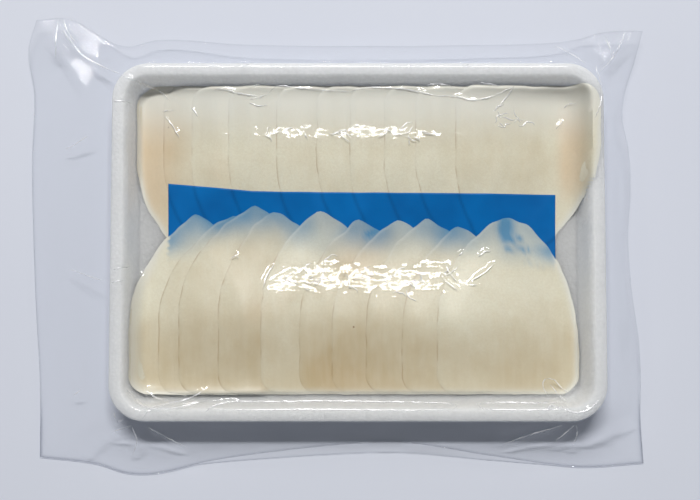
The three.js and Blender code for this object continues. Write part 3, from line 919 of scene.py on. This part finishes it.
def build_contents(tray_line, flesh, blue):
    """Lays the slices and the sheet in order, and returns the height of what lies in the tray."""
    out = rim_distance(GX, GY)
    bed = np.where(out < 0, tray_height(tray_line, out), RIM_TOP - BED_OUTSIDE) + BED_GAP
    back = [Slice("back", k + 1, *values) for k, values in enumerate(BACK_SLICES)]
    front = [Slice("front", k + 1, *values) for k, values in enumerate(FRONT_SLICES)]
    x, y = sheet_rows(60, 2)
    sheet_outline = np.vstack([np.column_stack([x[0], y[0]]), np.column_stack([x[1], y[1]])[::-1]])
    on_sheet = is_inside(sheet_outline, GX, GY)
    front_edge = np.interp(GX, *np.array(SHEET_FRONT).T)
    fields = {
        "mottle": noise(9.0),
        "blush": noise(7.0),
        "dots": noise(1.2),
        "rind": union_softness(back + front, on_sheet),
        "tint": smoothstep(GY - front_edge, -2, 9),
        "sheet": np.full(GX.shape, NO_SHEET),
    }
    seam_shades = np.zeros(GX.shape)
    for piece in back + front:
        if piece is front[0]:
            under = draped(bed, SHEET_SOFT)
            build_sheet(under, blur(seam_shades, 0.3), blue)
            bed = np.where(on_sheet, under + SHEET_THICK, bed)
            fields["sheet"] = np.where(blur(on_sheet.astype(float), 0.3) > 0.5, bed, NO_SHEET)
        under = draped(bed, SOFTEST if piece in (back[-1], front[0]) else SOFT)
        build_slice(piece, under, fields, flesh)
        part = window(piece.edge)
        inside = inside_distance(piece.edge, GX[part], GY[part])
        top = under[part] + piece.thickness(GX[part], GY[part], np.maximum(inside, 0))
        bed[part] = np.where(inside > 0, top, bed[part])
        seam_shades[part] = np.where(inside > 0, 0, seam_shades[part])
        # painted shade for the sheet along the edges of the slices it covers
        seam_shades[part] = np.maximum(seam_shades[part], 0.45 * bell(inside, SEAM_SHADE_WIDTH))
    return bed


def draped(bed, softness):
    """Underside of a soft piece laid on the bed: it rounds off the steps below it."""
    return np.maximum(bed, blur(bed, softness))


# Film bag


def bend_direction(before, point, after, side):
    """Direction of the edge at a point, as long as the side: the side's own at a sharp corner."""
    coming, going = point - before, after - point
    coming, going = (v / np.linalg.norm(v[:2]) for v in (coming, going))
    if np.dot(coming[:2], going[:2]) < SHARP_CORNER:
        return side
    return (coming + going) / 2 * np.linalg.norm(side[:2])


def bag_outline():
    """Edge of the bag, smooth but for its sharp corners: x, y and height."""
    edge = np.array([(*point, EDGE_LOW)[:3] for point in BAG_EDGE])
    t = np.linspace(0, 1, 6, endpoint=False)[:, None]
    pieces = []
    for p0, p1, p2, p3 in zip(*(np.roll(edge, shift, axis=0) for shift in (1, 0, -1, -2))):
        start = bend_direction(p0, p1, p2, p2 - p1)
        end = bend_direction(p1, p2, p3, p2 - p1)
        pieces.append(
            (2 * t**3 - 3 * t**2 + 1) * p1 + (t**3 - 2 * t**2 + t) * start
            + (3 * t**2 - 2 * t**3) * p2 + (t**3 - t**2) * end
        )
    return np.vstack(pieces)


def ridges(groups):
    """Ridges along lines, which sink and narrow towards their ends."""
    total = np.zeros(GX.shape)
    for height, width, lines in groups:
        for points in lines:
            part = window(np.array(points), 3.5 * width)
            gap, along = line_distance(points, GX[part], GY[part])
            ends = 0.35 + 0.65 * smoothstep(along, 0, 0.15) * (1 - smoothstep(along, 0.8, 1.0))
            total[part] = np.maximum(total[part], height * ends * bell(gap, width * ends))
    return total


def stretched(obstacle):
    """Film drawn over an obstacle: it spans hollows and touches what stands up."""
    film = obstacle
    for _ in range(FILM_PULLS):
        film = np.maximum(obstacle, blur(film, FILM_PULL))
    return blur(film, FILM_FINISH)


def crinkled_band():
    """Where the film over the rows is finely crinkled, from 0 to 1."""
    y = GY + 1.5 * np.sin(GX / 7.0)
    crinkled = np.zeros(GX.shape)
    for start, end, middle, sides in BANDS:
        band = smoothstep(y, *start) * (1 - smoothstep(y, *end))
        band *= 1 - smoothstep(np.abs(GX - middle), *sides)
        crinkled = np.maximum(crinkled, band)
    return crinkled


def flap_heights(out, outline):
    """Height of the free film outside the rim, and the distance to the bag's edge."""
    closed = np.vstack([outline, outline[:1]])
    to_edge, along = line_distance(closed[:, :2], GX, GY)
    lengths = length_so_far(closed)
    edge_height = np.interp(along, lengths / lengths[-1], closed[:, 2])
    to_edge = np.where(is_inside(outline[:, :2], GX, GY), to_edge, 0)
    beyond = np.maximum(out, 0)
    reach = beyond + to_edge
    share = np.clip(beyond / np.maximum(reach, 1e-3), 0, 1)
    drop = np.minimum(FLAP_START - edge_height, FLAP_STEEPEST * reach)
    flap = FLAP_START - drop * (1 - (1 - share) ** FLAP_SAG)
    ripple = noise(7.0) * 0.2 + noise(2.2) * 0.05
    free = smoothstep(out, 0.5, 4)
    flap += ripple * free * smoothstep(to_edge, 0, 3) + ridges(FOLDS) * free
    return np.maximum(flap, EDGE_LOW), to_edge


def film_over_rows(contents, out, inner, band):
    """Height of the film inside the rim: drawn over the rows, crinkled, creased and puckered."""
    from_rim = np.maximum(GY + RIM_HALF_Y - LIP_WIDTH, 0)
    taut = np.maximum(contents, RIM_TOP - SPAN_SLOPE * from_rim)
    bed = lerp(contents, taut, smoothstep(SPAN_HALF_WIDTH - np.abs(GX), 0, SPAN_FADE))
    over = stretched(np.where(out < 0, bed, RIM_TOP - FILM_OUTSIDE)) + FILM_GAP
    over += 0.05 * noise(4.5) * inner + 0.008 * noise(0.9) + 0.08 * band * noise(0.7, 1.1)
    over += ridges(CREASES) * smoothstep(-out, -0.2, 0.8)
    for centre, sizes, height in PUCKERS:
        over += height * bell(oval(centre, sizes, GX, GY), 0.6)
    return over


def film_heights(contents):
    """Heights of the upper and the lower film, values for the material, and the bag's outline."""
    out = rim_distance(GX, GY)
    outline = bag_outline()
    flap, to_edge = flap_heights(out, outline)
    band = crinkled_band()
    inner = smoothstep(-out, 6.5, 9)
    over = film_over_rows(contents, out, inner, band)
    upper = lerp(over, flap + HALF_GAP, smoothstep(out, -0.6, 0.5))
    wall = np.interp(out, [-LIP_WIDTH - WALL_RUN + FOAM, 0.3, 0.8], [0.0, 13.0, FLAP_START])
    lower = np.minimum(np.where(out < 0.8, wall, flap), flap) - HALF_GAP
    ribs = sum(bell(oval(centre, sizes, GX, GY), 0.7) for centre, sizes in RIBBED)
    in_front = smoothstep(-GY, 62, 80)
    looks = {
        "ribs": (0.8 + 2.5 * ribs) * smoothstep(out, 0, 3),
        "crinkle": 0.15 + 1.4 * band + 0.3 * smoothstep(noise(5.0), 0.5, 1.8) * inner,
        "edge": (0.25 + 0.75 * in_front) * np.exp(-to_edge / 0.5),
    }
    return upper, np.maximum(lower, 0.0), looks, outline


def wrinkle_lines():
    """Short jagged lines that run mostly along X, in the bands of wrinkles."""
    draw = np.random.default_rng(23)
    lines = []
    for count, reach_x, reach_y in WRINKLES:
        for _ in range(count):
            point = np.array([draw.uniform(*reach_x), draw.uniform(*reach_y)])
            heading = draw.normal(0, 0.35)
            line = [point]
            for _ in range(draw.integers(3, 8)):
                heading = 0.6 * heading + draw.normal(0, 0.7)
                step = draw.uniform(0.8, 2.0)
                point = point + step * np.array([math.cos(heading), math.sin(heading)])
                line.append(point)
            lines.append(line)
    return lines


def ribbon_rows(line, seed, upper):
    """Three rows of points of a ribbon on the film: its two sides and, between them, its middle."""
    line = round_off(np.array(line, float), 2)
    length = length_so_far(line)
    along = np.linspace(0, length[-1], max(int(length[-1] / RIBBON_STEP), 5))
    middle = np.stack([np.interp(along, length, line[:, axis]) for axis in (0, 1)], axis=1)
    middle += np.random.default_rng(seed).normal(0, 0.1, middle.shape)
    ahead = np.gradient(middle, axis=0)
    aside = np.stack([-ahead[:, 1], ahead[:, 0]], axis=1) / np.hypot(*ahead.T)[:, None]
    taper = np.sqrt(np.sin(np.linspace(0.02, math.pi - 0.02, len(along))))[:, None]
    rows = []
    for offset, lift in ((-1, RIBBON_SIDE), (0, RIBBON_MIDDLE), (1, RIBBON_SIDE)):
        flat = middle + offset * RIBBON_HALF_WIDTH * taper * aside
        rows.append(np.column_stack([flat, sample(upper, flat[:, 0], flat[:, 1]) + lift]))
    return rows


def build_creases(upper, material):
    """Thin ribbons along all creases and folds, with a raised middle and pointed ends, whose material
    paints highlight lines.
    """
    groups = [group for _, width, group in CREASES + FOLDS if width < WIDEST_RIBBON_RIDGE]
    lines = sum(groups, []) + LOOPS + wrinkle_lines()
    points, faces = [], []
    start = 0
    for seed, line in enumerate(lines):
        rows = ribbon_rows(line, seed, upper)
        count = len(rows[0])
        for a in range(start, start + 2 * count):
            if (a - start) % count < count - 1:
                faces.append((a, a + 1, a + 1 + count, a + count))
        points += rows
        start += 3 * count
    place(make_mesh("film_crease_highlights", np.vstack(points), faces), material, "film_bag")


def build_film(contents, material):
    """One closed bag: upper and lower film on the same grid, joined along the bag's edge."""
    upper, lower, looks, outline = film_heights(contents)
    build_creases(upper, crease_highlight_material())
    edge = outline[:, :2]
    inside = is_inside(edge, GX, GY)
    cells = inside[:-1, :-1] | inside[:-1, 1:] | inside[1:, 1:] | inside[1:, :-1]
    used = np.zeros(GX.shape, bool)
    for j, i in ((0, 0), (0, 1), (1, 1), (1, 0)):
        used[j:j + cells.shape[0], i:i + cells.shape[1]] |= cells
    snapped = used & ~inside
    x, y = GX.copy(), GY.copy()
    closed = evenly(edge, EDGE_POINTS)
    for j, i in np.argwhere(snapped):
        nearest = closed[np.argmin((closed[:, 0] - x[j, i]) ** 2 + (closed[:, 1] - y[j, i]) ** 2)]
        x[j, i], y[j, i] = nearest
    number = np.cumsum(used.ravel()).reshape(used.shape) - 1
    meeting = np.where(snapped, (upper + lower) / 2, upper)
    top = np.column_stack([x[used], y[used], meeting[used]])
    below = used & ~snapped
    count_below = np.cumsum(below.ravel()).reshape(used.shape) - 1
    low_number = np.where(snapped, number, len(top) + count_below)
    bottom = np.column_stack([x[below], y[below], lower[below]])
    j, i = np.nonzero(cells)

    def quads(ids):
        return np.stack([ids[j, i], ids[j, i + 1], ids[j + 1, i + 1], ids[j + 1, i]], axis=1)

    faces = quads(number).tolist() + quads(low_number)[:, ::-1].tolist()
    values = {key: np.concatenate([look[used], look[below]]) for key, look in looks.items()}
    piece = make_mesh("film", np.vstack([top, bottom]), faces, values)
    merge_flat_foot(piece.data)
    place(piece, material, "film_bag")


def merge_flat_foot(mesh, tolerance=1e-7):
    """Joins the faces of the flat film under the tray into one."""
    work = bmesh.new()
    work.from_mesh(mesh)
    flat = [face for face in work.faces if max(vertex.co.z for vertex in face.verts) < tolerance]
    bmesh.ops.dissolve_faces(work, faces=flat)
    work.to_mesh(mesh)
    work.free()


# Table, light and camera

TABLE_HALF = 900.0
TABLE_TOP = -0.3
CAMERA_DISTANCE = 500.0
CAMERA_TILT = math.radians(3.8)
# Millimetres to a pixel at the rim, and the pixel of the tray's middle
PHOTO_SCALE = 0.41
PHOTO_WIDTH, PHOTO_HEIGHT = 700, 500
TRAY_PIXEL = (358.0, 240.4)
SENSOR = 36.0
# Lamp: place in millimetres, size in metres, power and colour
LAMP_AT = (0, 1040, 1800)
LAMP_SIZE = (0.96, 0.14)
LAMP_POWER = 37.5
LAMP_COLOUR = (1.0, 0.99, 0.97)
# Strength of the room from its walls up to a height, and straight above, and its colour
HORIZON, ZENITH_START, ZENITH = 0.26, 0.6, 0.05
ROOM_COLOUR = (0.9, 0.94, 1.0, 1)


def at(x, y, z):
    """Point in metres from millimetres round the tray's middle."""
    return Vector((x + TRAY_MIDDLE[0], y + TRAY_MIDDLE[1], z)) * MM


def build_table():
    """A flat square table just under the pack."""
    corners = [(-1, -1), (1, -1), (1, 1), (-1, 1)]
    points = [(TABLE_HALF * x, TABLE_HALF * y, TABLE_TOP) for x, y in corners]
    table = make_mesh("table_top", points, [(0, 1, 2, 3)])
    table.data.materials.append(table_material())


def put_in_scene(name, data, place_at, back):
    """Adds a camera or a lamp at a point; back is the direction away from what it looks at."""
    made = bpy.data.objects.new(name, data)
    bpy.context.scene.collection.objects.link(made)
    made.location = place_at
    made.rotation_mode = "QUATERNION"
    made.rotation_quaternion = back.to_track_quat("Z", "Y")
    return made


def build_camera():
    """The photo's camera: almost straight above, with the tray's middle on its pixel."""
    data = bpy.data.cameras.new("camera")
    data.sensor_width = SENSOR
    data.lens = SENSOR * CAMERA_DISTANCE / (PHOTO_WIDTH * PHOTO_SCALE)
    aim_x = (PHOTO_WIDTH / 2 - TRAY_PIXEL[0]) * PHOTO_SCALE
    aim_y = (TRAY_PIXEL[1] - PHOTO_HEIGHT / 2) * PHOTO_SCALE
    back = Vector((0, -math.sin(CAMERA_TILT), math.cos(CAMERA_TILT)))
    place_at = at(aim_x, aim_y, RIM_TOP) + back * CAMERA_DISTANCE * MM
    bpy.context.scene.camera = put_in_scene("camera", data, place_at, back)


def build_lights():
    """A long narrow lamp behind and above, and a room that is darker overhead than at its walls."""
    data = bpy.data.lights.new("window_strip", "AREA")
    data.shape = "RECTANGLE"
    data.size, data.size_y = LAMP_SIZE
    data.energy = LAMP_POWER
    data.color = LAMP_COLOUR
    place_at = at(*LAMP_AT)
    put_in_scene("window_strip", data, place_at, place_at - at(0, 0, 0))
    world = bpy.data.worlds.new("room")
    world.use_nodes = True
    nodes, links = world.node_tree.nodes, world.node_tree.links
    direction = nodes.new("ShaderNodeTexCoord")
    parts = nodes.new("ShaderNodeSeparateXYZ")
    ramp = nodes.new("ShaderNodeMapRange")
    ramp.inputs["From Min"].default_value = ZENITH_START
    ramp.inputs["To Min"].default_value = HORIZON
    ramp.inputs["To Max"].default_value = ZENITH
    sky = nodes["Background"]
    sky.inputs["Color"].default_value = ROOM_COLOUR
    links.new(direction.outputs["Generated"], parts.inputs[0])
    links.new(parts.outputs["Z"], ramp.inputs["Value"])
    links.new(ramp.outputs["Result"], sky.inputs["Strength"])
    bpy.context.scene.world = world


section = tray_section()
build_tray(section, foam_material())
heights = build_contents(section, flesh_material(), sheet_material())
build_film(heights, film_material())
build_table()
build_camera()
build_lights()
bpy.context.scene.view_settings.view_transform = "Standard"
